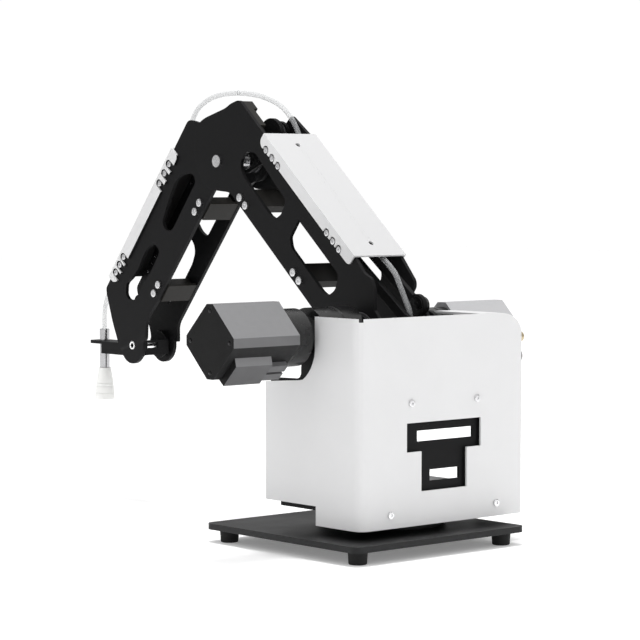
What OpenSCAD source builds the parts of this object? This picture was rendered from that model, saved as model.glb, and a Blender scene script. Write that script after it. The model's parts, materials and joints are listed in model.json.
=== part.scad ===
// Desktop palletising robot arm: turntable, shoulder, cranked forearm and a
// levelling linkage that keeps the suction tool flat. Millimetres, +Z up,
// origin on the floor under the middle of the base plate, +X is forward reach.

/* [Base] */
// Side of the square base plate
base_side = 168.4; // [168:0.2:180]
// Thickness of the base plate
base_t = 4.6; // [4:0.2:5]
// Height of the feet
foot_h = 9.6; // [8:0.2:10]
// Top radius of a foot
foot_r = 7.2; // [6:0.1:8]
// Sideways offset of the arm plane from the middle of the base
arm_y = -19.6; // [-22:0.2:-10]

/* [Turret] */
// Underside height of the turret floor
floor_z = 31; // [30:0.5:31]
// Thickness of the turret floor
floor_t = 3.5; // [3:0.5:4]
// Rear face of the cover, distance behind the shoulder axis
cover_back = 64.3; // [64:0.1:68]
// Half width of the cover
cover_half = 81.8; // [81:0.1:86]
// Top of the cover
cover_top = 171.2; // [170:0.1:174]
// Sheet thickness of the covers
sheet_t = 1.5; // [1.2:0.1:1.6]
// Front edge of the cover sides
cover_front = 40; // [38:1:46]
// Height of the shoulder axis
shoulder_z = 156; // [156:0.5:157]

/* [Drives] */
// Side of the shoulder motor
motor_a = 42.3; // [42:0.1:42.5]
// Half width across the chamfers of the shoulder motor
motor_ch = 26.5; // [26:0.1:27]
// Side of the forearm motor
motor_b = 35.2; // [35:0.1:35.4]
// Half width across the chamfers of the forearm motor
motor_bch = 20.5; // [20:0.1:21]
// Radius of the shoulder gearbox
gear_ra = 21; // [20:0.1:21.2]
// Radius of the forearm gearbox
gear_rb = 17; // [16:0.1:17.5]

/* [Arm] */
// Distance from shoulder axis to elbow axis
upper_len = 210.5; // [210:0.1:211]
// Angle of the upper arm above the floor, as stored
upper_ang = 37.5; // [37:0.1:38]
// Distance from elbow axis to wrist axis
fore_len = 195; // [194:0.1:196]
// Angle of the forearm, as stored
fore_ang = -51; // [-52:0.1:-50]
// Outer half width over the upper arm plates
arm_half = 24.5; // [24:0.1:25]
// Outer half width over the forearm plates
fore_half = 17.5; // [17.3:0.1:17.6]
// Thickness of the arm plates
plate_t = 3; // [2.5:0.1:3]
// Radius of the elbow axle
axle_r = 4; // [3.5:0.1:4]
// Crank and rear lever length
crank_len = 32; // [31:0.5:32]

/* [Hose] */
// Radius of the air hose
hose_r = 2; // [1.5:0.1:2.2]

/* [Hidden] */
$fn = 48;
run = 0.05;               // radial running clearance
S = [0, shoulder_z];
E = [S[0] + upper_len*cos(upper_ang), S[1] + upper_len*sin(upper_ang)];
W = [E[0] + fore_len*cos(fore_ang), E[1] + fore_len*sin(fore_ang)];
cr = [-crank_len*cos(40), crank_len*sin(40)];      // crank and lever arm
C = S + cr;                                        // crank pin
D = E + cr;                                        // lever pin
pv = [-27, 7];                                     // rear levelling offset
P = S + pv;
Q = E + pv;
tv = [-2, 36];                                    // front levelling offset
T = E + tv;
L = W + tv;
ba = upper_ang + 4;                                // plate band angle
Eu = (E[0]-S[0])*cos(ba) + (E[1]-S[1])*sin(ba);
En = -(E[0]-S[0])*sin(ba) + (E[1]-S[1])*cos(ba);
base_top = foot_h + base_t;
ftop = floor_z + floor_t;
foot_in = 12.9;
foot_p = base_side/2 - foot_in;

// ---------- helpers ----------
// solid between y0 and y1 whose 2D child is drawn in X and Z
module xz(y0, y1) translate([0, y1, 0]) rotate([90, 0, 0]) linear_extrude(y1 - y0) children();
module ycyl(p, y0, y1, r) translate([p[0], y1, p[1]]) rotate([90, 0, 0]) cylinder(h = y1 - y0, r = r);
module at(p) translate([p[0], p[1]]) children();
module ua2() at(S) rotate(ba) children();          // u along the band, n across it
module fa2() at(E) rotate(fore_ang) children();    // f along the forearm, g outwards
module arm() translate([0, arm_y, 0]) children();
function ua(u, n) = [S[0] + u*cos(ba) - n*sin(ba), S[1] + u*sin(ba) + n*cos(ba)];
function fa(f, g) = [E[0] + f*cos(fore_ang) - g*sin(fore_ang), E[1] + f*sin(fore_ang) + g*cos(fore_ang)];
function un(v) = v / norm(v);
// polygon with its corners rounded; each point is [x, y, r]
function rp(pts, k = 4) = [for (i = [0:len(pts)-1])
  let (p = [pts[i][0], pts[i][1]], a = pts[(i+len(pts)-1) % len(pts)], b = pts[(i+1) % len(pts)],
       r = min(pts[i][2], 0.48*norm([a[0], a[1]] - p), 0.48*norm([b[0], b[1]] - p)),
       ua_ = un([a[0], a[1]] - p), ub_ = un([b[0], b[1]] - p))
  for (j = [0:(r > 0 ? k : 0)]) let (t = r > 0 ? j/k : 0)
    r > 0 ? (1-t)*(1-t)*(p + r*ua_) + 2*t*(1-t)*p + t*t*(p + r*ub_) : p];
function oct(h, m) = let (k = h*sqrt(2) - m) [[k,m],[-k,m],[-m,k],[-m,-k],[-k,-m],[k,-m],[m,-k],[m,k]];
module slot2(a, b, r) { at(a) circle(r); at(b) circle(r);
  polygon([a + r*[-(un(b-a))[1], (un(b-a))[0]], b + r*[-(un(b-a))[1], (un(b-a))[0]],
           b - r*[-(un(b-a))[1], (un(b-a))[0]], a - r*[-(un(b-a))[1], (un(b-a))[0]]]); }
module bar2(a, b, r) polygon([a + r*[-(un(b-a))[1], (un(b-a))[0]], b + r*[-(un(b-a))[1], (un(b-a))[0]],
           b - r*[-(un(b-a))[1], (un(b-a))[0]], a - r*[-(un(b-a))[1], (un(b-a))[0]]]);
// pan-head screw along Y, head outwards on the side s
module yscrew(p, y, s, r = 3, h = 1.6, deep = 5) {
  difference() { ycyl(p, min(y, y + s*h), max(y, y + s*h), r);
    ycyl(p, min(y + s*(h-0.8), y + s*(h+1)), max(y + s*(h-0.8), y + s*(h+1)), r*0.45, $fn = 6); }
  ycyl(p, min(y, y - s*deep), max(y, y - s*deep), r*0.5 - 0.04); }
// swept tube through a smooth curve of round-number points
function cat(p0, p1, p2, p3, t) = 0.5*((2*p1) + (p2-p0)*t + (2*p0-5*p1+4*p2-p3)*t*t + (3*p1-p0-3*p2+p3)*t*t*t);
function curve(p, k) = [for (i = [0:len(p)-2]) for (j = [0:k-1])
    cat(p[max(i-1,0)], p[i], p[i+1], p[min(i+2,len(p)-1)], j/k), p[len(p)-1]];
function tang(c) = [for (i = [0:len(c)-1]) un(c[min(i+1,len(c)-1)] - c[max(i-1,0)])];
function frames(t, i, n) = i == 0 ? [n] : let (q = frames(t, i-1, n), l = q[len(q)-1], m = l - (l*t[i])*t[i]) concat(q, [un(m)]);
module tube(p, r, k = 3, ns = 8) {
  c = curve(p, k); t = tang(c); fr = frames(t, len(c)-1, un(cross(t[0], [0.13, 0.98, 0.11])));
  v = [for (i = [0:len(c)-1]) for (j = [0:ns-1]) c[i] + r*(cos(360*j/ns)*fr[i] + sin(360*j/ns)*cross(t[i], fr[i]))];
  m = len(c);
  polyhedron(v, concat([[for (j = [0:ns-1]) ns-1-j]], [[for (j = [0:ns-1]) (m-1)*ns + j]],
    [for (i = [0:m-2]) for (j = [0:ns-1]) [i*ns + j, i*ns + (j+1)%ns, (i+1)*ns + (j+1)%ns, (i+1)*ns + j]])); }

// ---------- base ----------
module base_plate() color([0.16, 0.16, 0.17]) difference() {
  translate([0, 0, foot_h]) linear_extrude(base_t) polygon(rp([for (q = [[1,1],[-1,1],[-1,-1],[1,-1]]) [q[0]*base_side/2, q[1]*base_side/2, 7]], 6));
  for (x = [-1,1], y = [-1,1]) translate([x*foot_p, y*foot_p, foot_h - 1]) cylinder(h = base_t, r = 2.15, $fn = 32);
  for (a = [45:90:315]) translate([0, arm_y, foot_h - 1]) rotate(a) translate([38, 0, 0]) cylinder(h = base_t + 2, r = 2.2, $fn = 32);
}
module base_feet() color([0.07, 0.07, 0.075]) for (x = [-1,1], y = [-1,1]) translate([x*foot_p, y*foot_p, 0]) difference() {
  rotate_extrude($fn = 48) polygon([[0,0],[foot_r-1.1,0],[foot_r-0.6,0.5],[foot_r,foot_h],[0,foot_h]]);
  translate([0, 0, -1]) cylinder(h = foot_h + 2, r = 2.15, $fn = 32);
}
module turntable_lower_ring() color([0.2, 0.2, 0.21]) arm() translate([0, 0, base_top]) difference() {
  rotate_extrude($fn = 96) polygon([[30,0],[46,0],[46,7.6],[44,8],[30,8]]);
  for (a = [45:90:315]) rotate(a) translate([38, 0, -1]) cylinder(h = 6, r = 1.6, $fn = 32);
}
module base_spigot() color([0.7, 0.7, 0.71]) arm() translate([0, 0, base_top]) rotate_extrude($fn = 64) polygon([[0,0],[20,0],[20,4],[9,5],[9,9],[5,9.5],[5,34],[0,34]]);

// ---------- turret ----------
module turret_floor() color([0.1, 0.1, 0.105]) arm() difference() {
  translate([0, 0, floor_z]) linear_extrude(floor_t) polygon(rp([[29, -79, 5],[29, 79, 5],[-57, 79, 5],[-61, 74, 3],[-61, -79, 5]]));
  translate([0, 0, floor_z - 1]) cylinder(h = floor_t + 2, r = 11, $fn = 64);
}
module turntable_upper_ring() color([0.23, 0.23, 0.24]) arm() translate([0, 0, base_top + 8.3]) difference() {
  rotate_extrude($fn = 96) polygon([[26,0],[50,0],[50,floor_z-base_top-8.3],[26,floor_z-base_top-8.3]]);
  for (a = [45:90:315]) rotate(a) translate([38, 0, 3]) cylinder(h = 30, r = 1.6, $fn = 32);
}
module base_gearbox() color([0.13, 0.13, 0.135]) arm() difference() {
  translate([0, 0, ftop]) rotate_extrude($fn = 72) polygon([[0,0],[gear_ra,0],[gear_ra,7],[gear_ra-0.6,7],[gear_ra-0.6,8],[gear_ra,8],[gear_ra,26],[0,26]]);
  translate([0, 0, ftop - 1]) cylinder(h = 20, r = 5 + run, $fn = 48);
}
module base_motor() color([0.45, 0.45, 0.46]) arm() translate([0, 0, ftop + 26]) linear_extrude(34) polygon(oct(motor_b/2, motor_bch) * [[cos(45), sin(45)], [-sin(45), cos(45)]]);
module upright2() polygon(rp([[-40, ftop, 0],[28, ftop, 0],[28, 60, 8],[26, 120, 10],[26, 172, 12],[-20, 172, 12],[-28, 150, 14],[-40, 120, 8]]));
module upright_left() color([0.09, 0.09, 0.095]) arm() difference() { xz(33, 37) difference() { upright2(); at([0, 90]) circle(15); at([-22, 60]) circle(8); } ycyl(S, 32, 38, 7); for (a = [45:90:315]) ycyl(S + 16*[cos(a), sin(a)], 32, 38, 1.7, $fn = 24); }
module upright_right() color([0.09, 0.09, 0.095]) arm() difference() { xz(-37, -33) difference() { upright2(); polygon(rp([[-60, 42, 0],[15, 42, 4],[15, 96, 6],[-60, 96, 0]])); } ycyl(S, -38, -32, 7); for (a = [45:90:315]) ycyl(S + 13*[cos(a), sin(a)], -38, -32, 1.7, $fn = 24); }
module rear_panel() color([0.07, 0.07, 0.075]) arm() difference() {
  translate([-61, 0, 0]) rotate([90, 0, 90]) linear_extrude(2) polygon([[-76, ftop],[76, ftop],[76, 164],[-64, 164],[-76, 150]]);
  translate([-62, -31.9, 80.8]) cube([4, 56, 7.8]);
  translate([-62, -18, 51.5]) cube([4, 29.4, 8.2]);
  for (q = [[-33, 109.3],[33, 109.3]]) translate([-62, q[0], q[1]]) rotate([0, 90, 0]) cylinder(h = 4, r = 1.6, $fn = 24);
  translate([-62, -30, 140]) cube([4, 60, 40]);
}
module notch2() polygon([[-15, 200],[-15, 146.3],[-14.3, 141.8],[-12.8, 138.1],[-10.7, 133.9],[-7.9, 130.4],[-5, 127.4],[-1.6, 125.1],[3, 124.4],[60, 120],[60, 200]]);
module side_plates() color([0.08, 0.08, 0.085]) arm() {
  xz(78.2, 80.2) difference() {
    polygon(rp([[-54, ftop, 0],[29, ftop, 0],[36, 60, 6],[36, 160, 10],[-46, 160, 16],[-54, 140, 10]]));
    at(S) circle(15.3);
    polygon([[-15.3, 200],[-15.3, 156],[0, 141],[2, 134],[2, 129],[3.6, 126.4],[6.5, 125.4],[60, 124],[60, 200]]);
  }
  xz(-80.2, -78.2) polygon([[-58, 96],[36, 96],[36, 118],[8, 118],[-26, 142],[-26, 146],[-49, 146],[-49, 131],[-58, 126]]);
}
// folded cover: rear panel, two sides and a rounded far top
module cover_profile(o) {   // outline in Y and Z, o is the inward offset
  polygon(rp([[cover_half - o, 10, 0],[cover_half - o, cover_top + 20, 0],[-cover_half + o, cover_top + 20, 0],[-cover_half + o, 10, 0]]));
}
module cover_block(o, x0, x1) intersection() {
  translate([0, 0, 0]) linear_extrude(cover_top - o) polygon(rp([[x1, cover_half - o, 0],[x0, cover_half - o, 10 - o],[x0, -cover_half + o, 4 - o*0.5],[x1, -cover_half + o, 0]], 8));
  translate([x0 - 1, 0, 0]) rotate([90, 0, 90]) linear_extrude(x1 - x0 + 2) polygon(rp([[cover_half - o, 0, 0],[cover_half - o, cover_top - o, 0.01],[-cover_half + o, cover_top - o, 26 - o],[-cover_half + o, 0, 0]], 10));
}
module turret_cover() color([0.93, 0.93, 0.93]) arm() difference() {
  cover_block(0, -cover_back, cover_front);
  cover_block(sheet_t, -cover_back + sheet_t, cover_front + 1);
  // open bottom, stepped at the front
  translate([-100, -100, -1]) cube([200, 200, 21.5]);
  translate([-16, -100, -1]) cube([100, 200, 35.5]);
  // arm opening in the top
  translate([-cover_back + sheet_t, -38, cover_top - 1 - sheet_t]) cube([200, 38 + cover_half - sheet_t, 20]);
  // motor openings
  xz(70, 90) notch2();
  xz(-90, -33) at(S) circle(gear_rb + 0.4);
  xz(-90, -56) polygon([for (q = oct(motor_b/2, motor_bch)) S + q + [q[0] > 0 ? 1.2 : -1.2, q[1] > 0 ? 1.2 : -1.2]]);
  translate([-13.5, -90, 160]) cube([27, 57, 20]);
  // access opening in the far side
  xz(-90, -70) polygon(rp([[-13, 39, 6],[60, 39, 0],[60, 92, 0],[-13, 92, 6]]));
  // tee opening in the rear
  translate([-80, -37.2, 74]) cube([30, 74.4, 21]);
  translate([-80, -22.8, 45]) cube([30, 45.6, 30]);
  for (q = [[-33, 109.3],[33, 109.3],[-53.3, 30.3],[53.3, 30.3]]) translate([-80, q[0], q[1]]) rotate([0, 90, 0]) cylinder(h = 30, r = 1.7, $fn = 24);
  for (z = [152, 138]) translate([-55, -100, z]) rotate([-90, 0, 0]) cylinder(h = 30, r = z > 145 ? 4.2 : 4.6, $fn = 32);
}
module cover_screws() color([0.75, 0.75, 0.76]) arm() for (q = [[-33, 109.3],[33, 109.3],[-53.3, 30.3],[53.3, 30.3]]) translate([-cover_back, q[0], q[1]]) rotate([0, 90, 0]) {
  difference() { translate([0, 0, -1.3]) cylinder(h = 1.3, r = 2.7, $fn = 32); translate([0, 0, -2]) cylinder(h = 1.3, r = 1.2, $fn = 6); }
  cylinder(h = q[1] > 100 ? 5.6 : 3.2, r = 1.5, $fn = 24); }
module rod_anchor() color([0.11, 0.11, 0.115]) arm() {
  difference() { union() { xz(2.6, 6) union() { polygon([[-59, 106],[-48, 106],[P[0]+7.4, P[1]-3],[P[0]-6, P[1]+5],[-59, 132]]); at(P) circle(8); }
    translate([-59, -12, 106]) cube([3, 18, 26]); }
    ycyl(P, 2, 7, 2.5); }
  ycyl(P, -4.4, 7.6, 2.5); ycyl(P, 6, 8.2, 4.4); ycyl(P, -5.6, -4.4, 4);
}
module shoulder_gearbox() color([0.08, 0.08, 0.085]) arm() difference() {
  translate([0, 105.6, shoulder_z]) rotate([90, 0, 0]) rotate_extrude($fn = 96) polygon([[0,0],[gear_ra,0],[gear_ra,17.2],[14.7,17.6],[14.7,28.6],[gear_ra,29],[gear_ra,50],[gear_ra-0.7,50.4],[gear_ra-0.7,51.4],[gear_ra,51.8],[gear_ra,68.6],[0,68.6]]);
  ycyl(S, 36, 92, 5 + run);
}
module motor_body(h, m, y0, y1) xz(y0, y1) at(S) polygon(oct(h, m));
module shoulder_motor() color([0.42, 0.42, 0.43]) arm() {
  difference() { motor_body(motor_a/2, motor_ch, 105.6, 166.1); for (a = [0:90:270]) ycyl(S + 21.9*[cos(a), sin(a)], 164, 167, 1.7, $fn = 24); }
  // connector hump on the lower face
  xz(126, 159) at(S) rotate(-45) mirror([1, 0]) polygon([[-18, -20],[-17.5, -26.4],[2.5, -26.4],[6, -20.6]]);
}
module motor_plugs() color([0.5, 0.5, 0.51]) arm() for (x = [0.5, 9]) difference() { xz(109, 125.9) at(S) rotate(-45) polygon([[x, -25.6],[x + 6.4, -25.6],[x + 6.4, -21.4],[x, -21.4]]); xz(108, 113) at(S) rotate(-45) polygon([[x + 1, -24.8],[x + 5.4, -24.8],[x + 5.4, -22.2],[x + 1, -22.2]]); }
module forearm_gearbox() color([0.08, 0.08, 0.085]) arm() difference() {
  translate([0, -37, shoulder_z]) rotate([90, 0, 0]) rotate_extrude($fn = 96) polygon([[0,0],[gear_rb,0],[gear_rb,10],[gear_rb-0.6,10.4],[gear_rb-0.6,11.4],[gear_rb,11.8],[gear_rb,22],[0,22]]);
  ycyl(S, -54, -36, 4 + run);
}
module forearm_motor() color([0.42, 0.42, 0.43]) arm() difference() { motor_body(motor_b/2, motor_bch, -120, -59); for (a = [0:90:270]) ycyl(S + 17.5*[cos(a), sin(a)], -121, -118, 1.5, $fn = 24); }
module control_board() color([0.05, 0.25, 0.12]) arm() {
  translate([-46, 71, 44]) cube([66, 1.6, 62]);
  translate([-40, 62, 50]) cube([14, 9, 10]);
  translate([-20, 65, 52]) cube([14, 6, 14]);
  translate([0, 65, 52]) cube([14, 6, 14]);
  translate([-36, 68.5, 78]) cube([20, 2.5, 20]);
  for (x = [-42, 16], z = [48, 102]) ycyl([x, z], 72.6, 78.2, 2.6, $fn = 24);
}
module vacuum_pump() color([0.3, 0.3, 0.31]) arm() translate([-30, 50, ftop]) {
  cylinder(h = 34, r = 12, $fn = 48); translate([-12, -11, 34]) cube([24, 22, 20]);
  translate([0, 0, 54]) cylinder(h = 8, r = 2.4, $fn = 32); }
module air_fitting() color([0.72, 0.55, 0.25]) arm() translate([-55, -77.5, 152]) rotate([90, 0, 0]) difference() {
  union() { cylinder(h = 4.3, r = 4, $fn = 32); translate([0, 0, 4.3]) cylinder(h = 3.5, r = 5.4, $fn = 6); translate([0, 0, 7.8]) cylinder(h = 3, r = 3.8, $fn = 32); }
  translate([0, 0, 3]) cylinder(h = 10, r = 2.1, $fn = 32); }
module power_socket() color([0.06, 0.06, 0.065]) arm() translate([-55, -76.5, 138]) rotate([90, 0, 0]) difference() {
  union() { cylinder(h = 5.3, r = 4.4, $fn = 32); translate([0, 0, 5.3]) cylinder(h = 2.4, r = 6, $fn = 32); }
  translate([0, 0, 2]) cylinder(h = 10, r = 2.8, $fn = 32); }

// ---------- upper arm ----------
module ua_outline(lobe) {
  polygon(rp(concat(lobe ? [[Eu-27.6, -23, 4]] : [[Eu-27.6, -20.2, 4]], [[Eu-3.4, En-26.4, 10],[Eu+23.2, En-19.2, 12],[Eu+39.2, En+2.3, 6]],
    lobe ? [[Eu+35.9, En+13.2, 6],[Eu+20, En+37.6, 5],[Eu+17.9, En+43.6, 3],[Eu+13, En+51.2, 3],[Eu+10.3, En+53.1, 2],[Eu-28.8, En+52.9, 3]] : [[244, -3, 5],[233, 4.2, 4],[208.6, 24, 2],[207.2, 35.5, 2],[182.2, 37.6, 3]],
    lobe ? [[42.8, 38.2, 0],[26.6, 36, 3],[18.8, 38.6, 2],[11.5, 35.5, 3],[5.2, 29.3, 2],[-1.6, 21.7, 0],[-8, 10, 0],[0, -23, 0]]
         : [[42.4, 38.1, 0],[18.5, 34.5, 3],[15.2, 31.1, 2],[14, 21, 0],[-8, 10, 0],[0, -20.2, 0]])));
  circle(lobe ? 23.5 : 26.6);
}
module arm_plate(lobe) difference() {
  ua2() difference() {
    ua_outline(lobe);
    if (lobe) { polygon(rp([[125.1, 5.4, 2],[127.9, -1.6, 2],[133.4, -3.6, 2],[175, -3.2, 2],[184, -1, 3],[189, 4.8, 2],[188, 14, 2],[179.8, 20.5, 4],[139.4, 17.7, 6],[128, 17.4, 4]]));
      polygon(rp([[41.6, 5, 3],[44.3, -3.6, 3],[51, -5.6, 2],[99.4, -5.6, 3],[106, -0.6, 2],[107.4, 15.9, 0],[46, 16.3, 5]])); }
    else { polygon(rp([[126, 5.4, 2],[128.6, 1, 3],[180, 1, 5],[186, 6, 3],[184, 16, 4],[132, 16, 5]]));
      polygon(rp([[43.8, 4.6, 2],[44.6, -1, 2],[50, -1.2, 2],[80.5, 1.6, 2],[102, 2.2, 3],[105, 15.5, 2],[48, 15.5, 5]])); }
  }
  at(E) circle(axle_r + 0.01);
  for (q = brace_pts) at(ua(q, -17.2)) circle(1.7, $fn = 24);
}
brace_pts = [75.4, 84.6, 160.6, 169.8];
cov_u = [57.7, 66.7, 76, 151.4, 160.5, 170.1];
module arm_plate_left() color([0.13, 0.13, 0.135]) arm() difference() { xz(arm_half - plate_t, arm_half) arm_plate(true); ycyl(S, 20, 26, 6);
  for (a = [0:90:270]) ycyl(S + 12*[cos(a), sin(a)], 20, 26, 1.6, $fn = 24);
  for (u = cov_u) ycyl(ua(u, 31.2), 20, 26, 1.3, $fn = 24); }
module arm_plate_right() color([0.13, 0.13, 0.135]) arm() difference() { xz(-arm_half, plate_t - arm_half) arm_plate(false); ycyl(S, -26, -20, 7);
  for (u = cov_u) ycyl(ua(u, 31.2), -26, -20, 1.3, $fn = 24); }
module arm_braces() { elbow_block(); arm_bars(); }
module arm_bars() color([0.2, 0.19, 0.17]) arm() for (u = [80, 165.2]) difference() {
  xz(plate_t - arm_half, arm_half - plate_t) ua2() polygon([[u-10, -20],[u+10, -20],[u+10, -13.4],[u-10, -13.4]]);
  for (d = [-4.6, 4.6]) { ycyl(ua(u + d, -17.2), 12, 23, 1.56, $fn = 24); ycyl(ua(u + d, -17.2), -23, -12, 1.56, $fn = 24); } }
module elbow_block() color([0.2, 0.19, 0.17]) arm() { xz(15.5, arm_half - plate_t) ua2() polygon([[192, 33],[212, 33],[212, 38],[192, 38]]);
  xz(11.5, arm_half - plate_t) ua2() polygon([[211.5, 33],[221, 33],[220.5, 38],[211.5, 38]]); }
module arm_screws() color([0.78, 0.78, 0.79]) arm() {
  for (q = brace_pts) { yscrew(ua(q, -17.2), arm_half, 1, 3.1, 1.8, 8); yscrew(ua(q, -17.2), -arm_half, -1, 3.1, 1.8, 8); }
  for (u = cov_u) { yscrew(ua(u, 31.2), arm_half, 1, 2.4, 1.3, 3.4); yscrew(ua(u, 31.2), -arm_half, -1, 2.4, 1.3, 3.4); }
}
module arm_cover() color([0.93, 0.93, 0.93]) arm() difference() {
  union() {
    xz(-arm_half - 0.2 - sheet_t, arm_half + 0.2 + sheet_t) ua2() polygon([[41.3, 38.4],[180, 38.4],[180, 39.9],[41.3, 39.9]]);
    for (s = [-1, 1]) xz(s > 0 ? arm_half + 0.2 : -arm_half - 0.2 - sheet_t, s > 0 ? arm_half + 0.2 + sheet_t : -arm_half - 0.2) ua2() difference() {
      polygon(rp([[41.3, 39.9, 0],[41.3, 31, 3],[44.6, 29.9, 1.5],[176, 29.9, 3],[180, 33, 3],[180, 39.9, 0]]));
      for (u = cov_u) { translate([u, 31.2]) circle(3.5, $fn = 24); translate([u - 3.5, 28]) square([7, 3.2]); }
    }
  }
  for (u = [54.9, 166.9]) translate([ua(u, 39)[0], 0, ua(u, 39)[1]]) rotate([0, -ba, 0]) translate([0, 0, -3]) cylinder(h = 6, r = 2.2, $fn = 24);
}
module shoulder_shaft() color([0.62, 0.62, 0.63]) arm() {
  ycyl(S, 21.5, 90, 5);
  difference() { ycyl(S, arm_half, 31.5, 16); for (a = [0:90:270]) ycyl(S + 12*[cos(a), sin(a)], 24, 33, 1.6, $fn = 24); }
  ycyl(S, 21.5, 24.5, 5.99);
}
module shoulder_bush() color([0.72, 0.55, 0.25]) arm() difference() { union() { ycyl(S, -24.5, -21.5, 6.99); ycyl(S, -21.5, -19.6, 8.6); } ycyl(S, -26, -19, 4 + run); }
module elbow_axle() color([0.8, 0.8, 0.81]) arm() { ycyl(E, -26.2, 26.2, axle_r); ycyl(E, 24.5, 26.4, 4.8); ycyl(E, -26.4, -24.5, 4.8);
  ycyl(E, -4.7, -3.4, 6.3); }
// ---------- crank and rods ----------
module crank() color([0.3, 0.3, 0.31]) arm() {
  ycyl(S, -53, -13.2, 4);
  difference() { xz(-16.8, -13.2) union() { at(S) circle(11.5); slot2(S, C, 6.5); } ycyl(S, -17, -13, 3.9); }
  ycyl(C, -16, -8.2, 3);
}
module crank_pin_bush() color([0.72, 0.55, 0.25]) arm() difference() { ycyl(C, -12.7, -8.8, 7); ycyl(C, -13, -8, 3 + run); }
module drive_rod() color([0.1, 0.1, 0.105]) arm() difference() {
  union() { xz(-12.7, -8.8) bar2(C, D, 4.2); ycyl(C, -12.7, -8.8, 8.6); ycyl(D, -12.7, -8.8, 13.2); }
  ycyl(C, -13, -8, 7 + run); ycyl(D, -13, -8, 3.2); }
module rear_level_rod() color([0.1, 0.1, 0.105]) arm() difference() {
  union() { xz(-3, 1) bar2(P, Q, 3.8); ycyl(P, -3, 1, 6.2); ycyl(Q, -3, 1, 6.2); }
  ycyl(P, -4, 2, 2.5 + run); ycyl(Q, -4, 2, 2.7); }
module elbow_triangle() color([0.11, 0.11, 0.115]) arm() difference() {
  xz(-7.9, -4.9) union() { polygon([E + [6, -6], T + [5, 0], T + [-3.8, 3.8], Q + [-4, 4], Q + [-2, -5.4], E + [-4, -8]]); at(E) circle(9.4); at(T) circle(5.6); at(Q) circle(6); }
  ycyl(E, -9, -4, axle_r + run); ycyl(T, -9, -4, 2.41); ycyl(Q, -9, -4, 2.41); }
module triangle_pins() color([0.78, 0.78, 0.79]) arm() { ycyl(T, -7.9, 9.4, 2.4); ycyl(T, -4.9, 4.9, 3.6); ycyl(T, 8.8, 10, 3.8); ycyl(Q, -7.9, 2.6, 2.4); ycyl(Q, -4.9, -3.1, 3.8); ycyl(Q, 1.2, 2.6, 3.8); }
module front_level_rod() color([0.1, 0.1, 0.105]) arm() difference() {
  union() { xz(5, 8.6) bar2(T, L, 3.6); ycyl(T, 5, 8.6, 5.6); ycyl(L, 5, 8.6, 5.6); }
  ycyl(T, 4, 10, 2.4 + run); ycyl(L, 4, 10, 2.7); }

// ---------- forearm ----------
module fa_outline(near) {
  polygon(rp(concat([[-13, -10, 0],[-15, 8, 6],[-11, 28, 8],[-1, 50, 6],[3, 57, 4],[177, 57, 2],[181.4, 57, 3],[185, 53, 3]],
    near ? [[197.5, 33, 4],[fore_len + 14, 10, 2]] : [[190, 38, 4],[195, 25, 2],[198, 19.6, 3],[fore_len + 12, 9.5, 0]],
    near ? [[fore_len - 12, -9, 0],[fore_len - 16, -10.6, 4],[168, -2.6, 4],[160, -1.6, 3],[146, -3.2, 2],[20, -3.6, 6],[10, -11, 3]] : [[fore_len - 12, -9, 0],[fore_len - 14, -14.6, 5],[169.4, -4.9, 5],[20, -4.9, 6],[10, -11, 3]]), 5));
  circle(16); translate([fore_len, 0]) circle(15.2);
}
fb = [45.3, 54.5, 131.8, 141];
module fore_plate(near) difference() {
  fa2() difference() {
    fa_outline(near);
    if (near) { polygon(rp([[33, 25, 3],[36, 18.3, 3],[86, 17.8, 4],[91.6, 24, 4],[90, 32, 4],[70, 37, 6],[50, 40, 4],[39, 33, 4]]));
      polygon(rp([[109, 29, 3],[110, 19.5, 3],[131.6, 18.6, 3],[151.7, 20.2, 3],[162, 19.8, 3],[168.6, 27, 4],[167.4, 33, 2],[160, 38, 3],[150.9, 34.9, 3],[138, 33, 2],[121.8, 35.5, 5]])); }
    else { polygon(rp([[34, 24, 5],[37, 10, 6],[87, 10, 4],[89, 20, 4],[86, 31, 4],[38, 31, 5]]));
      polygon(rp([[101.5, 27, 4],[103, 19, 3],[107.5, 14, 3],[117, 11.3, 3],[146, 11, 5],[152, 20, 5],[148, 33, 5],[108, 35, 4]]));
      translate([161.5, 15.5]) circle(2, $fn = 24); }
    for (f = fb) translate([f, 3.6]) circle(1.7, $fn = 24);
  }
}
fscr = [45.8, 55.4, 66, 144.5, 153, 161.4];
module forearm_plate_left() color([0.13, 0.13, 0.135]) arm() difference() { xz(fore_half - plate_t, fore_half) fore_plate(true); ycyl(E, 13, 19, 7); ycyl(W, 13, 19, 3.5);
  for (f = fscr) ycyl(fa(f, 53.6), 13, 19, 1.3, $fn = 24); }
module forearm_plate_right() color([0.13, 0.13, 0.135]) arm() difference() { xz(-fore_half, plate_t - fore_half) fore_plate(false); ycyl(E, -19, -13, 7); ycyl(W, -19, -13, 3.5);
  for (f = fscr) ycyl(fa(f, 53.6), -19, -13, 1.3, $fn = 24); 
  for (f = [16, 26]) ycyl(fa(f, 16), -19, -13, 1.6, $fn = 24); }
module forearm_braces() color([0.2, 0.19, 0.17]) arm() for (f = [49.9, 136.4])
  xz(plate_t - fore_half, fore_half - plate_t) fa2() polygon([[f-10, -4.6],[f+6.8, -4.6],[f+6.8, 7.6],[f+2.4, 7.6],[f+2.4, -1.8],[f-2.4, -1.8],[f-2.4, 7.6],[f-7, 7.6],[f-7, -1.8],[f-10, -1.8]]);
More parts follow.
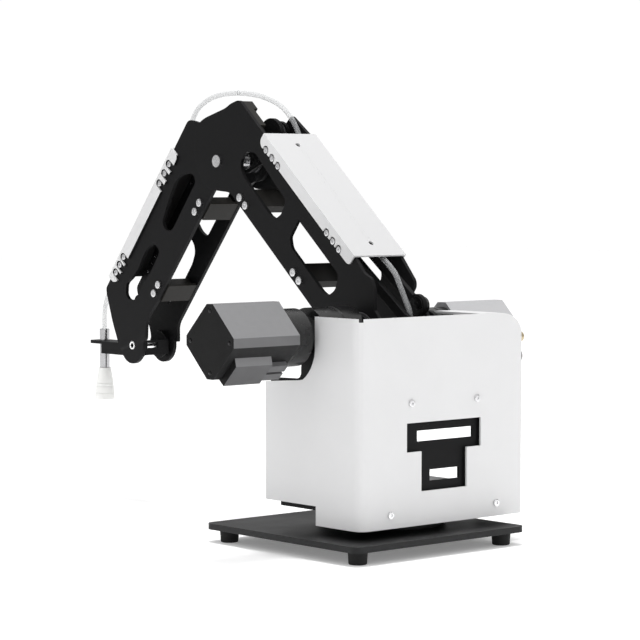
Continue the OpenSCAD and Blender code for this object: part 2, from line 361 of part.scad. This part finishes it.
module forearm_screws() color([0.78, 0.78, 0.79]) arm() {
  for (f = fb) { yscrew(fa(f, 3.6), fore_half, 1, 3.1, 1.6, 2.9); yscrew(fa(f, 3.6), -fore_half, -1, 3.1, 1.6, 2.9); }
  for (f = fscr) { yscrew(fa(f, 53.6), fore_half, 1, 2.4, 1.2, 2.9); yscrew(fa(f, 53.6), -fore_half, -1, 2.4, 1.2, 2.9); }
}
module forearm_lever() color([0.11, 0.11, 0.115]) arm() {
  difference() { xz(-20.5, -17.7) union() { slot2(E, D, 9); slot2(E, fa(30, 16), 9); at(E) circle(13); at(D) circle(11); }
    ycyl(E, -22, -17, 7); }
  ycyl(D, -18, -8.4, 3);
}
module lever_spacer() color([0.62, 0.62, 0.6]) arm() difference() { ycyl(D, -17.6, -13, 9.6); ycyl(D, -18, -12, 3.05); }
module forearm_cover() color([0.93, 0.93, 0.93]) arm() union() {
  xz(-fore_half - 0.2 - sheet_t, fore_half + 0.2 + sheet_t) fa2() polygon([[33, 57.3],[170, 57.3],[170, 58.8],[33, 58.8]]);
  for (s = [-1, 1]) xz(s > 0 ? fore_half + 0.2 : -fore_half - 0.2 - sheet_t, s > 0 ? fore_half + 0.2 + sheet_t : -fore_half - 0.2) fa2() difference() {
    polygon(rp([[33, 58.8, 0],[33, 50, 3],[36, 47.5, 2],[166, 47.5, 2],[170, 51, 3],[170, 58.8, 0]]));
    for (f = fscr) { translate([f, 53.6]) circle(3.4, $fn = 24); translate([f - 3.4, 45]) square([6.8, 8.6]); }
  }
}
module elbow_bushes() color([0.72, 0.55, 0.25]) arm() for (s = [-1, 1]) difference() {
  union() { ycyl(E, s > 0 ? 14.5 : -21.2, s > 0 ? 21.2 : -14.5, 6.99); ycyl(E, s > 0 ? 12.5 : -14.5, s > 0 ? 14.5 : -12.5, 8.6); }
  ycyl(E, -30, 30, axle_r + run); }
module wrist_axle() color([0.8, 0.8, 0.81]) arm() { difference() { ycyl(W, -17.6, 17.6, 3.49); ycyl(W, -30, 30, 1.8); } }

// ---------- wrist and tool ----------
tx = 352;
bz = 133.2;
module ear2(up) difference() { union() { at(W) circle(11.4); if (up) slot2(W, L, 5.8);
    polygon([[W[0]-11.2, W[1]-8],[W[0]+2, W[1]-9.6],[up ? 340.5 : 323, W[1]-9.6],[up ? 340.5 : 323, bz-1],[W[0]+8, bz-1],[W[0]+6, bz+5],[W[0]-8, bz+5],[W[0]-11.2, bz]]); } }
module tool_bracket() color([0.1, 0.1, 0.105]) arm() difference() {
  union() {
    xz(9.8, 12) ear2(true); xz(-12, -9.8) ear2(false);
    translate([W[0]-11.4, -12, W[1]-8]) cube([2.2, 24, 12]);
    translate([0, 0, bz-2.6]) linear_extrude(2.6) polygon(rp([[W[0]+14, -12, 0],[tx-26, -12, 4],[tx-20, -9, 4],[tx+11, -9, 5],[tx+11, 9, 5],[tx-10, 9, 2],[tx-11, 12, 1],[W[0]+14, 12, 0]]));
  }
  ycyl(W, -14, 14, 3.5 + run);
  ycyl(L, 9, 13, 2.41);
  translate([W[0]-14, -1, W[1]-2.2]) cube([7, 11, 5]);
  translate([tx, 0, bz-4]) cylinder(h = 6, r = 4.21, $fn = 48);
}
module level_pin() color([0.78, 0.78, 0.79]) arm() { ycyl(L, 4.6, 12.4, 2.4); ycyl(L, 3.4, 4.6, 3.6); }
module tool_stem() color([0.82, 0.82, 0.83]) arm() translate([tx, 0, 0]) rotate_extrude($fn = 48) polygon([[3,110],[4.2,110],[4.2,142.8],[3.4,142.8],[3.4,132],[3,132]]);
module suction_cup() color([0.94, 0.94, 0.93]) arm() translate([tx, 0, 0]) rotate_extrude($fn = 64) polygon([
  [1.5,120],[2.98,120],[2.98,109.9],[5.2,109.9],[5.4,108.6],[6.9,100],[7.2,97.2],[6.8,96.8],[7.3,96.4],[7.5,94.2],[7.1,93.8],[7.6,93.4],[8.1,88.7],[7.7,88.3],[8.2,87.9],[8.5,83],[7.4,83],[6,92],[4.6,100],[2.6,106],[1.5,108]]);
module hose_fitting() color([0.75, 0.75, 0.76]) arm() translate([tx, 0, 0]) rotate_extrude($fn = 48) polygon([[2.02,132.1],[3.38,132.1],[3.38,141.4],[2.02,141.4]]);

// ---------- air hose ----------
hy = -18.9;               // hose layer between the far plate and the crank
hz = -6;                  // hose layer between the two rods
h1 = ua(44, 35.5);
h2 = ua(180, 30);
h3 = fa(24, 50);
h4 = fa(158, 50);
module hose(p, k = 3) color([0.86, 0.9, 0.92]) arm() tube(p, hose_r, k);
module hose_shoulder() hose([[-14, hz, 148],[-19.5, hz, 158],[-21.4, hz, 166],[-20.6, hz, 173],[-16.6, hz, 180.2],[-11, hz, 189.9],[-4.3, hz, 200.6],[ua(42.6, 35.5)[0], hz, ua(42.6, 35.5)[1]]]);
module hose_upper() hose([[h1[0], hz, h1[1]],[ua(75, 34.5)[0], hz, ua(75, 34.5)[1]],[ua(105, 33)[0], -9, ua(105, 33)[1]],[ua(130, 32)[0], -14.5, ua(130, 32)[1]],[ua(153, 31)[0], hy, ua(153, 31)[1]],[h2[0], hy, h2[1]]]);
module hose_elbow_rear() hose([[ua(181, 30)[0], hy, ua(181, 30)[1]],[119, hy, 304],[124, hy, 312],[130, -18, 320],[139, -16, 328],[151, -13, 333.6],[164, -10, 337],[177.2, -6.2, 338.55]]);
module hose_elbow_front() hose([[179.2, -5.7, 338.6],[194, -2, 337.6],[207, 2, 333.6],[217, 5, 326],[222, 7, 315],[222.6, 8, 305],[h3[0] - 0.9, 8, h3[1] + 2.6]]);
module hose_forearm() hose([[h3[0], 8, h3[1]],[fa(55, 51)[0], 7, fa(55, 51)[1]],[fa(90, 51)[0], 5, fa(90, 51)[1]],[fa(125, 51)[0], 3, fa(125, 51)[1]],[h4[0], 2, h4[1]]]);
module hose_wrist() hose([[h4[0], 2, h4[1]],[311, 2, 188],[320, 2, 186.4],[330, 1.6, 184],[339, 1, 179],[346, 0.4, 171],[350.6, 0, 162],[352, 0, 153],[352, 0, 136]]);

base_plate();
base_feet();
turntable_lower_ring();
base_spigot();
turret_floor();
turntable_upper_ring();
base_gearbox();
base_motor();
upright_left();
upright_right();
rear_panel();
side_plates();
turret_cover();
cover_screws();
rod_anchor();
shoulder_gearbox();
shoulder_motor();
motor_plugs();
forearm_gearbox();
forearm_motor();
control_board();
vacuum_pump();
air_fitting();
power_socket();
hose_shoulder();
arm_plate_left();
arm_plate_right();
arm_braces();
arm_screws();
arm_cover();
shoulder_shaft();
shoulder_bush();
elbow_axle();
hose_upper();
hose_elbow_rear();
hose_elbow_front();
crank();
crank_pin_bush();
drive_rod();
rear_level_rod();
elbow_triangle();
triangle_pins();
forearm_plate_left();
forearm_plate_right();
forearm_braces();
forearm_screws();
forearm_lever();
lever_spacer();
forearm_cover();
elbow_bushes();
wrist_axle();
hose_forearm();
hose_wrist();
front_level_rod();
tool_bracket();
level_pin();
tool_stem();
suction_cup();
hose_fitting();
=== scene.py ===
import bpy, bmesh, math, json, random
from mathutils import Vector, Matrix


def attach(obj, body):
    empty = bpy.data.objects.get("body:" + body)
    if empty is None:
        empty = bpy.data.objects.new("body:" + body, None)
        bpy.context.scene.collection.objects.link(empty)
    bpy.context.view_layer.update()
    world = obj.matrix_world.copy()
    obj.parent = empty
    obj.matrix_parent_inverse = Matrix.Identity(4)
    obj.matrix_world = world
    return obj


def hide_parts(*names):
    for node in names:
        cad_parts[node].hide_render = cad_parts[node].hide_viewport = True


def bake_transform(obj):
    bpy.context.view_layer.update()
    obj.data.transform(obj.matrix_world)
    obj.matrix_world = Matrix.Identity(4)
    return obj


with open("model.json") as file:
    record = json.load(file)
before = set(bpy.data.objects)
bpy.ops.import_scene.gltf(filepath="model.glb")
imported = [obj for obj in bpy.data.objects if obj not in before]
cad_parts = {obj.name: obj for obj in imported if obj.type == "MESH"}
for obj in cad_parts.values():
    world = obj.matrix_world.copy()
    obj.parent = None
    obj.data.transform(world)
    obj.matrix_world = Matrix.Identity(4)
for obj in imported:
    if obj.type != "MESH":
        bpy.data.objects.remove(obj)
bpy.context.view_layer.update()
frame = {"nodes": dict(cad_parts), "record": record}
N = frame["nodes"]
random.seed(7)
AY = -0.0196                      # the arm's centre plane

# ------------------------------------------------------------------ camera, world, light
cam_data = bpy.data.cameras.new("camera")
cam = bpy.data.objects.new("camera", cam_data)
bpy.context.scene.collection.objects.link(cam)
cam.location = (-1.32906, 1.22610 + AY, 0.26701)
cam.rotation_euler = (math.radians(86.776), 0, math.radians(-131.173))
cam_data.sensor_width = 36
cam_data.lens = 136.87
cam_data.clip_start, cam_data.clip_end = 0.01, 100
bpy.context.scene.camera = cam
bpy.context.scene.view_settings.view_transform = "Standard"

world = bpy.data.worlds.new("world")
bpy.context.scene.world = world
world.use_nodes = True
wt = world.node_tree
bg = wt.nodes["Background"]
bg.inputs["Color"].default_value = (1, 1, 1, 1)
# a tall soft dome: bright overhead, dimmer round the horizon, white where it is seen directly
w_co = wt.nodes.new("ShaderNodeTexCoord")
w_sep = wt.nodes.new("ShaderNodeSeparateXYZ")
wt.links.new(w_co.outputs["Generated"], w_sep.inputs[0])
w_ramp = wt.nodes.new("ShaderNodeMapRange")
w_ramp.interpolation_type = "SMOOTHSTEP"
for k, v in (("From Min", 0.05), ("From Max", 0.75), ("To Min", 0.40), ("To Max", 0.95)):
    w_ramp.inputs[k].default_value = v
wt.links.new(w_sep.outputs["Z"], w_ramp.inputs["Value"])
w_lp = wt.nodes.new("ShaderNodeLightPath")
w_mix = wt.nodes.new("ShaderNodeMix")
wt.links.new(w_lp.outputs["Is Camera Ray"], w_mix.inputs[0])
wt.links.new(w_ramp.outputs[0], w_mix.inputs[2])
w_mix.inputs[3].default_value = 1.02
wt.links.new(w_mix.outputs[0], bg.inputs["Strength"])


def area(name, loc, target, size, power, size_y=None):
    d = bpy.data.lights.new(name, "AREA")
    d.shape = "RECTANGLE"
    d.size, d.size_y, d.energy = size, size_y or size, power
    o = bpy.data.objects.new(name, d)
    o.location = loc
    o.rotation_euler = (Vector(target) - Vector(loc)).to_track_quat("-Z", "Y").to_euler()
    bpy.context.scene.collection.objects.link(o)
    return o


area("key", (-2.0, -0.5, 1.3), (0.0, 0, 0.12), 1.4, 7)
area("top", (0.02, 0.0, 2.2), (0.02, 0, 0), 0.5, 26)
area("side", (-0.2, 2.3, 1.4), (0.1, 0, 0.2), 1.2, 4)


# ------------------------------------------------------------------ node helpers
class Mat:
    """A small builder round one Principled material."""

    def __init__(self, name):
        self.m = bpy.data.materials.new(name)
        self.m.use_nodes = True
        self.t = self.m.node_tree
        self.b = self.t.nodes["Principled BSDF"]
        self.co = self.t.nodes.new("ShaderNodeTexCoord").outputs["Object"]

    def node(self, kind, **k):
        n = self.t.nodes.new(kind)
        for a, v in k.items():
            setattr(n, a, v)
        return n

    def link(self, a, b):
        self.t.links.new(a, b)

    def noise(self, scale, detail=3, rough=0.5, dist=0.0, stretch=None):
        n = self.node("ShaderNodeTexNoise")
        n.inputs["Scale"].default_value = scale
        n.inputs["Detail"].default_value = detail
        n.inputs["Roughness"].default_value = rough
        n.inputs["Distortion"].default_value = dist
        if stretch:
            m = self.node("ShaderNodeMapping")
            m.inputs["Scale"].default_value = stretch
            self.link(self.co, m.inputs["Vector"])
            self.link(m.outputs[0], n.inputs["Vector"])
        else:
            self.link(self.co, n.inputs["Vector"])
        return n.outputs[0]

    def ramp(self, src, lo, hi, a, b):
        r = self.node("ShaderNodeMapRange")
        r.inputs["From Min"].default_value, r.inputs["From Max"].default_value = lo, hi
        r.inputs["To Min"].default_value, r.inputs["To Max"].default_value = a, b
        self.link(src, r.inputs["Value"])
        return r.outputs[0]

    def mix(self, fac, a, b):
        x = self.node("ShaderNodeMix", data_type="RGBA")
        for i, v in ((6, a), (7, b)):
            if isinstance(v, (tuple, list)):
                x.inputs[i].default_value = (*v, 1)
            else:
                self.link(v, x.inputs[i])
        if isinstance(fac, float):
            x.inputs[0].default_value = fac
        else:
            self.link(fac, x.inputs[0])
        return x.outputs[2]

    def edge(self, radius=0.0006, gain=6.0):
        """0 on flats, up to 1 close to an outside or inside edge."""
        bv = self.node("ShaderNodeBevel", samples=4)
        bv.inputs["Radius"].default_value = radius
        geo = self.node("ShaderNodeNewGeometry")
        d = self.node("ShaderNodeVectorMath", operation="DOT_PRODUCT")
        self.link(bv.outputs[0], d.inputs[0])
        self.link(geo.outputs["Normal"], d.inputs[1])
        return self.ramp(d.outputs["Value"], 1.0, 1.0 - 1.0 / gain, 0.0, 1.0)

    def facing(self, direction, lo=0.45, hi=0.6):
        """1 where the surface faces this direction, in the object's own axes, 0 elsewhere."""
        tc = self.node("ShaderNodeTexCoord")
        d = self.node("ShaderNodeVectorMath", operation="DOT_PRODUCT")
        self.link(tc.outputs["Normal"], d.inputs[0])
        d.inputs[1].default_value = direction
        return self.ramp(d.outputs["Value"], lo, hi, 0.0, 1.0)

    def bump(self, *layers):
        prev = None
        for height, strength, dist in layers:
            b = self.node("ShaderNodeBump")
            b.inputs["Strength"].default_value = strength
            b.inputs["Distance"].default_value = dist
            self.link(height, b.inputs["Height"])
            if prev is not None:
                self.link(prev, b.inputs["Normal"])
            prev = b.outputs[0]
        self.link(prev, self.b.inputs["Normal"])

    def set(self, **k):
        names = {"metal": "Metallic", "rough": "Roughness", "color": "Base Color", "coat": "Coat Weight", "coat_rough": "Coat Roughness",
                 "spec": "Specular IOR Level", "ior": "IOR", "trans": "Transmission Weight", "sss": "Subsurface Weight", "alpha": "Alpha", "aniso": "Anisotropic"}
        for a, v in k.items():
            s = self.b.inputs[names[a]]
            if isinstance(v, tuple):
                s.default_value = (*v, 1)
            elif isinstance(v, (int, float)):
                s.default_value = v
            else:
                self.link(v, s)
        return self.m


def powder(name, base, worn, rough, fleck, grain=2600, strength=0.16, mottle=0.06, spec=0.2, dark_side=None, top_shade=1.0):
    """Fine sprayed powder coat: orange peel, faint mottling, dust flecks and a rubbed edge. Optional painted shade:
    faces turned towards dark_side are painted near black, and top_shade darkens the opposite, upward faces.
    """
    m = Mat(name)
    peel = m.noise(grain, 2, 0.6)
    slow = m.noise(22, 4, 0.6)
    mid = m.noise(160, 3, 0.55)
    dust = m.ramp(m.noise(1400, 2, 0.7), 0.70, 0.78, 0.0, 1.0)
    c = m.mix(m.ramp(slow, 0.35, 0.65, 0.0, 1.0), tuple(x * (1 - mottle) for x in base), tuple(min(1, x * (1 + mottle)) for x in base))
    c = m.mix(m.ramp(dust, 0, 1, 0.0, fleck), c, worn)
    e = m.node("ShaderNodeMath", operation="MULTIPLY")
    m.link(m.edge(), e.inputs[0])
    m.link(m.ramp(mid, 0.42, 0.62, 0.0, 0.45), e.inputs[1])
    c = m.mix(e.outputs[0], c, worn)
    # painted shade: faces turned away from dark_side, the tops, are darkened by top_shade
    if top_shade < 1:
        c = m.mix(m.facing(tuple(-x for x in dark_side), 0.8, 0.95), c, tuple(x * top_shade for x in base))
    # painted shade: faces turned towards dark_side, the undersides, are painted near black
    if dark_side:
        c = m.mix(m.facing(dark_side), c, (0.012, 0.012, 0.012))
    m.bump((peel, strength, 0.00012), (mid, 0.04, 0.0003))
    return m.set(color=c, rough=m.ramp(slow, 0.3, 0.7, rough - 0.04, rough + 0.06), spec=spec)


def metal(name, base, rough, stretch=(1, 1, 1), scale=900, coat=0.0, tint=None, metallic=1.0, vary=0.1, dark_side=None, strength=0.1):
    """Turned or brushed metal with fine directional lines and finger haze. With dark_side, faces turned that way are
    coloured black and the downward faces get painted shade, less of it on the raised hump.
    """
    m = Mat(name)
    lines = m.noise(scale, 3, 0.7, stretch=stretch)
    slow = m.noise(70, 3, 0.6)
    c = m.mix(m.ramp(lines, 0.3, 0.7, 0.0, 1.0), tuple(x * (1 - vary) for x in base), tuple(min(1, x * (1 + vary)) for x in base))
    c = m.mix(m.ramp(slow, 0.5, 0.75, 0.0, 0.2), c, tint or tuple(x * 0.85 for x in base))
    mt = metallic
    if dark_side:
        # painted shade: downward faces are darkened towards 0.12 of the base colour
        painted_underside_shade = m.facing((-0.25, 0, -0.97), -0.05, 0.85)
        d = m.node("ShaderNodeVectorMath", operation="DOT_PRODUCT")
        m.link(m.co, d.inputs[0])
        d.inputs[1].default_value = (-0.70711, 0, -0.70711)
        hump_shade_ease = m.ramp(d.outputs["Value"], -0.0870, -0.0862, 1.0, 0.45)      # the raised hump gets less of the painted shade and stays lighter
        w = m.node("ShaderNodeMath", operation="MULTIPLY")
        m.link(painted_underside_shade, w.inputs[0])
        m.link(hump_shade_ease, w.inputs[1])
        c = m.mix(w.outputs[0], c, tuple(x * 0.12 for x in base))
        k = m.facing(dark_side, 0.6, 0.8)
        c = m.mix(k, c, (0.006, 0.006, 0.0062))
        mt = m.ramp(k, 0, 1, metallic, 0.0)
    m.bump((lines, strength, 0.0001))
    r = m.node("ShaderNodeMath", operation="ADD")
    m.link(m.ramp(lines, 0.3, 0.7, rough - 0.05, rough + 0.05), r.inputs[0])
    m.link(m.ramp(slow, 0.4, 0.7, 0.0, 0.08), r.inputs[1])
    return m.set(color=c, rough=r.outputs[0], metal=mt, coat=coat, spec=0.12 if dark_side else 0.5)


def plastic(name, base, rough, grain=1800, strength=0.12, fleck=0.04, spec=0.4):
    m = Mat(name)
    g = m.noise(grain, 3, 0.6)
    slow = m.noise(45, 4, 0.6)
    c = m.mix(m.ramp(slow, 0.35, 0.65, 0.0, 1.0), tuple(x * 0.95 for x in base), tuple(min(1, x * 1.05) for x in base))
    c = m.mix(m.ramp(m.edge(0.0004), 0, 1, 0.0, 0.25), c, tuple(min(1, x * 1.5 + 0.01) for x in base))
    m.bump((g, strength, 0.0001))
    return m.set(color=c, rough=m.ramp(g, 0.3, 0.7, rough - 0.05, rough + 0.05), spec=spec)


BA = math.radians(41.5)
FA = math.radians(-51)
# underside directions of the upper-arm and forearm covers, which get painted shade
UP_UNDER = (math.sin(BA), 0, -math.cos(BA))
FORE_UNDER = (math.sin(FA), 0, -math.cos(FA))
BLACK = powder("black_powder", (0.0075, 0.0075, 0.008), (0.045, 0.045, 0.047), 0.44, 0.06, spec=0.09)
BLACK_SATIN = powder("black_satin", (0.005, 0.005, 0.0052), (0.06, 0.06, 0.06), 0.26, 0.04, grain=3200, spec=0.5)
BASE = powder("base_black", (0.0065, 0.0068, 0.0072), (0.06, 0.06, 0.06), 0.44, 0.08, spec=0.27)
WHITE = powder("white_powder", (0.69, 0.69, 0.695), (0.60, 0.60, 0.59), 0.40, 0.07, grain=2200, strength=0.07, mottle=0.012, spec=0.35)
# the two cover whites below are copies of white_powder with painted shade: near-black undersides, and on the upper-arm
# cover a darker top
WHITE_UP_SHADED = powder("white_upper_painted_shade", (0.69, 0.69, 0.695), (0.60, 0.60, 0.59), 0.40, 0.07, grain=2200, strength=0.07, mottle=0.012, spec=0.3, dark_side=UP_UNDER, top_shade=0.80)
WHITE_FORE_SHADED = powder("white_fore_painted_shade", (0.69, 0.69, 0.695), (0.60, 0.60, 0.59), 0.40, 0.07, grain=2200, strength=0.07, mottle=0.012, spec=0.35, dark_side=FORE_UNDER)
BRONZE = powder("bronze_powder", (0.014, 0.013, 0.0115), (0.09, 0.08, 0.06), 0.42, 0.07, spec=0.16)
STEEL = metal("steel", (0.72, 0.72, 0.73), 0.24)
# painted reflection: a lighter copy of steel for the wrist axle, standing in for the bright reflection on it
STEEL_LIT = metal("steel_painted_reflection", (0.93, 0.93, 0.94), 0.18)
CHROME = metal("chrome", (0.50, 0.50, 0.51), 0.16, stretch=(1, 1, 6), vary=0.05, strength=0.04)
BRASS = metal("brass", (0.50, 0.42, 0.28), 0.30, tint=(0.30, 0.22, 0.12))
GREY = metal("grey_metal", (0.10, 0.10, 0.105), 0.36, metallic=0.6)
# motor_grey: black end faces towards dark_side, and painted shade on its downward faces
MOTOR = metal("motor_grey", (0.235, 0.235, 0.24), 0.44, stretch=(1, 0.2, 1), scale=700, metallic=0.5, vary=0.03, dark_side=(0, 1, 0), strength=0.03)
# painted light: a lighter copy of the motor grey for the forearm motor, standing in for the light it catches
MOTOR_LIT = metal("motor_painted_light", (0.46, 0.46, 0.47), 0.44, stretch=(1, 0.2, 1), scale=700, metallic=0.35, vary=0.03, strength=0.03)
RUBBER = plastic("rubber", (0.010, 0.010, 0.010), 0.62, strength=0.25, spec=0.2)
SOCKET = plastic("socket_black", (0.012, 0.012, 0.013), 0.42)
PLUG = plastic("plug_grey", (0.12, 0.12, 0.123), 0.5)
CUP = plastic("silicone_white", (0.92, 0.92, 0.90), 0.46, grain=900, strength=0.06)
BOARD = plastic("board_green", (0.012, 0.09, 0.035), 0.35, grain=3000)


def hose_mat():
    """Clear thin-walled tube: nearly invisible face on, a bright line along each side."""
    m = Mat("hose_clear")
    g = m.noise(300, 2, 0.5)
    lw = m.node("ShaderNodeLayerWeight")
    lw.inputs["Blend"].default_value = 0.5
    a = m.ramp(lw.outputs["Facing"], 0.50, 0.78, 0.16, 0.96)
    return m.set(color=m.mix(g, (0.60, 0.61, 0.62), (0.68, 0.69, 0.70)), rough=m.ramp(g, 0.3, 0.7, 0.22, 0.32), alpha=a, spec=0.3)


HOSE = hose_mat()

SLOT = {"black_metal": BLACK, "rubber": RUBBER, "steel": STEEL, "chrome": CHROME, "grey_metal": GREY, "motor_grey": MOTOR,
        "cover_white": WHITE, "bronze_metal": BRONZE, "brass": BRASS, "plug_grey": PLUG, "socket_black": SOCKET,
        "board_green": BOARD, "silicone_white": CUP, "hose_clear": HOSE}
slot_of = {s["node"]: s["material_slot"] for s in frame["record"]["subparts"]}
special = {"base_plate": BASE, "turntable_lower_ring": BLACK_SATIN, "turntable_upper_ring": BLACK_SATIN,
           "shoulder_gearbox": BLACK_SATIN, "forearm_gearbox": BLACK_SATIN, "base_gearbox": BLACK_SATIN,
           "arm_cover": WHITE_UP_SHADED, "forearm_cover": WHITE_FORE_SHADED, "forearm_motor": MOTOR_LIT, "wrist_axle": STEEL_LIT, "crank_pin_bush": BLACK_SATIN, "crank": BLACK_SATIN}


def dress(o, mat, bevel=0.00035, seg=2):
    """Material, softened edges and even shading on a CAD node or piece."""
    o.data.materials.clear()
    o.data.materials.append(mat)
    for p in o.data.polygons:
        p.use_smooth = True
    if bevel:
        w = o.modifiers.new("weld", "WELD")
        w.merge_threshold = 0.000002
        b = o.modifiers.new("bevel", "BEVEL")
        b.width, b.segments, b.limit_method, b.angle_limit = bevel, seg, "ANGLE", math.radians(35)
        b.use_clamp_overlap = True
        b.miter_outer = "MITER_ARC"
        n = o.modifiers.new("normals", "WEIGHTED_NORMAL")
        n.keep_sharp = False
        n.weight = 60
    return o


for name, o in N.items():
    mat = special.get(name, SLOT[slot_of[name]])
    hose = name.startswith("hose_") and name != "hose_fitting"
    dress(o, mat, 0 if hose else 0.0003)

# ------------------------------------------------------------------ air hose
S, EL = Vector((0, 0, 0.156)), Vector((0.1670, 0, 0.284144))
W = EL + 0.195 * Vector((math.cos(FA), 0, math.sin(FA)))


def ua(u, n):
    return (u * math.cos(BA) - n * math.sin(BA), 156 + u * math.sin(BA) + n * math.cos(BA))


def fa(f, g):
    return (EL.x * 1000 + f * math.cos(FA) - g * math.sin(FA), EL.z * 1000 + f * math.sin(FA) + g * math.cos(FA))


HY, HZ = -18.9, -6
h1, h2, h3, h4 = ua(44, 35.5), ua(180, 30), fa(24, 50), fa(158, 50)
APEX = (178, -6, 338.6)


def at(p, y):
    return (p[0], y, p[1])


ROUTES = {
    "hose_shoulder": [(-14, HZ, 148), (-19.5, HZ, 158), (-21.4, HZ, 166), (-20.6, HZ, 173), (-16.6, HZ, 180.2), (-11, HZ, 189.9), (-4.3, HZ, 200.6), at(h1, HZ)],
    "hose_upper": [at(h1, HZ), at(ua(75, 34.5), HZ), at(ua(105, 33), -9), at(ua(130, 32), -14.5), at(ua(153, 31), HY), at(h2, HY)],
    "hose_elbow_rear": [at(h2, HY), (119, HY, 304), (124, HY, 312), (130, -18, 320), (139, -16, 328), (151, -13, 333.6), (164, -10, 337), APEX],
    "hose_elbow_front": [APEX, (194, -2, 337.6), (207, 2, 333.6), (217, 5, 326), (222, 7, 315), (222.6, 8, 305), at(h3, 8)],
    "hose_forearm": [at(h3, 8), at(fa(55, 51), 7), at(fa(90, 51), 5), at(fa(125, 51), 3), at(h4, 2)],
    "hose_wrist": [at(h4, 2), (311, 2, 188), (320, 2, 186.4), (330, 1.6, 184), (339, 1, 179), (346, 0.4, 171), (350.6, 0, 162), (352, 0, 153), (352, 0, 138)],
}
CROSS = {"hose_shoulder": ("turret", "upper_arm"), "hose_elbow_rear": ("upper_arm", "elbow_link"),
         "hose_elbow_front": ("elbow_link", "forearm"), "hose_wrist": ("forearm", "wrist")}
RIDE = {"hose_upper": "upper_arm", "hose_forearm": "forearm"}


def curve(pts, k):
    """Catmull-Rom through the route, in metres."""
    v = [Vector((p[0] / 1000, p[1] / 1000 + AY, p[2] / 1000)) for p in pts]
    out = []
    for i in range(len(v) - 1):
        a, b, c, d = v[max(i - 1, 0)], v[i], v[i + 1], v[min(i + 2, len(v) - 1)]
        for j in range(k):
            t = j / k
            out.append(0.5 * ((2 * b) + (c - a) * t + (2 * a - 5 * b + 4 * c - d) * t * t + (3 * b - a - 3 * c + d) * t * t * t))
    return out + [v[-1]]


def hose_mesh(name, pts, r=0.00198, wall=0.0006, k=8, ns=16):
    """A thin-walled tube along the route, as one closed skin."""
    c = curve(pts, k)
    tan = [(c[min(i + 1, len(c) - 1)] - c[max(i - 1, 0)]).normalized() for i in range(len(c))]
    n = tan[0].cross(Vector((0.13, 0.98, 0.11))).normalized()
    vs, fs = [], []
    for i, p in enumerate(c):
        n = (n - n.dot(tan[i]) * tan[i]).normalized()
        b = tan[i].cross(n)
        for rr in (r, r - wall):
            for j in range(ns):
                a = 2 * math.pi * j / ns
                vs.append(p + rr * (math.cos(a) * n + math.sin(a) * b))
    m = 2 * ns
    for i in range(len(c) - 1):
        for j in range(ns):
            q = (j + 1) % ns
            fs.append((i * m + j, i * m + q, (i + 1) * m + q, (i + 1) * m + j))
            fs.append((i * m + ns + q, i * m + ns + j, (i + 1) * m + ns + j, (i + 1) * m + ns + q))
    for j in range(ns):
        q = (j + 1) % ns
        e = (len(c) - 1) * m
        fs.append((q, j, ns + j, ns + q))
        fs.append((e + j, e + q, e + ns + q, e + ns + j))
    me = bpy.data.meshes.new(name)
    me.from_pydata([tuple(v) for v in vs], [], fs)
    me.update()
    o = bpy.data.objects.new(name, me)
    bpy.context.scene.collection.objects.link(o)
    for p in me.polygons:
        p.use_smooth = True
    me.materials.append(HOSE)
    return o, c


for nm, pts in ROUTES.items():
    o, c = hose_mesh("tube_" + nm[5:], pts)
    if nm in CROSS:
        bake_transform(o)
    else:
        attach(o, RIDE[nm])
    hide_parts(nm)

# ------------------------------------------------------------------ floor
fl = bpy.data.meshes.new("floor")
fl.from_pydata([(-6, -6, 0), (6, -6, 0), (6, 6, 0), (-6, 6, 0)], [], [(0, 1, 2, 3)])
floor = bpy.data.objects.new("floor", fl)
bpy.context.scene.collection.objects.link(floor)
fm = Mat("floor_pale")
fn = fm.noise(3, 2, 0.5)
fm.b.inputs["Emission Color"].default_value = (1, 1, 1, 1)
fm.b.inputs["Emission Strength"].default_value = 0.2
fl.materials.append(fm.set(color=fm.mix(fn, (0.955, 0.955, 0.955), (0.965, 0.965, 0.965)), rough=0.8, spec=0.1))
